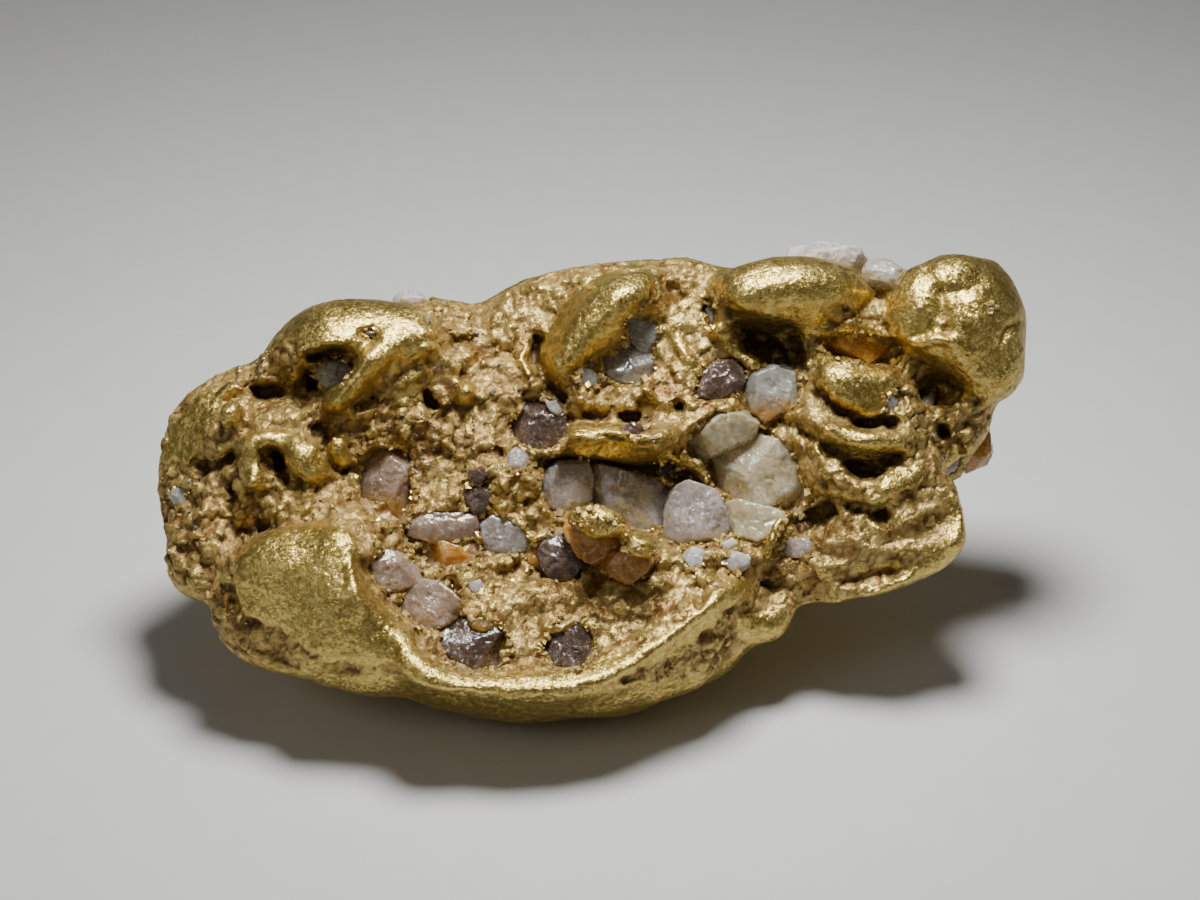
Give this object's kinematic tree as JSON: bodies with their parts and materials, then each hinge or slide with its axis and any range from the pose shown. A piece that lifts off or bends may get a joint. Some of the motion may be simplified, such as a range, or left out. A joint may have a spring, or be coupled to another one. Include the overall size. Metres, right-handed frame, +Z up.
{
  "type": "gold nugget",
  "caption": "Water-worn gold nugget, lumpy outside and hollowed on one broad face, with quartz grains held in the hollow.",
  "frame": {"origin": "middle of the footprint, on the surface that the nugget rests on", "axes": "+X along the nugget's length towards the big round knob, +Y towards the side that faces away from the hollow, +Z up; the hollowed face looks along -Y and up"},
  "size_m": [0.016, 0.0086, 0.0074],
  "materials": {
    "gold": "satin, water-worn, with iron-stained matte recesses",
    "quartz_pale": "broken, yellowish, translucent",
    "quartz_violet": "broken, grey-violet, translucent",
    "quartz_smoky": "broken, smoky brown, translucent",
    "quartz_dark": "broken, dark, sparkling",
    "quartz_grey": "broken, bluish grey, translucent",
    "quartz_amber": "iron-stained, amber, translucent",
    "quartz_milky": "sugary, milky white"
  },
  "bodies": {
    "root": {"gold": "gold", "quartz_amber_bead_left": "quartz_amber", "quartz_amber_bead_right": "quartz_amber", "quartz_amber_cave": "quartz_amber", "quartz_clear_round": "quartz_grey", "quartz_dark_crystal": "quartz_dark", "quartz_dark_ledge": "quartz_dark", "quartz_dark_rim_left": "quartz_dark", "quartz_dark_rim_right": "quartz_dark", "quartz_dark_upper": "quartz_dark", "quartz_grey_eye": "quartz_grey", "quartz_grey_lobe": "quartz_grey", "quartz_grey_lobe_top": "quartz_grey", "quartz_lilac_left": "quartz_smoky", "quartz_lilac_right": "quartz_violet", "quartz_pale_lower": "quartz_pale", "quartz_pale_main": "quartz_pale", "quartz_pale_upper": "quartz_pale", "quartz_right_amber": "quartz_amber", "quartz_right_sliver": "quartz_grey", "quartz_right_white": "quartz_milky", "quartz_smoky_brown": "quartz_smoky", "quartz_smoky_left": "quartz_smoky", "quartz_smoky_low": "quartz_smoky", "quartz_top_crest": "quartz_milky", "quartz_top_left": "quartz_milky", "quartz_top_patch": "quartz_grey", "quartz_violet_left": "quartz_violet", "quartz_violet_middle": "quartz_violet", "quartz_violet_right": "quartz_violet"}
  },
  "joints": []
}
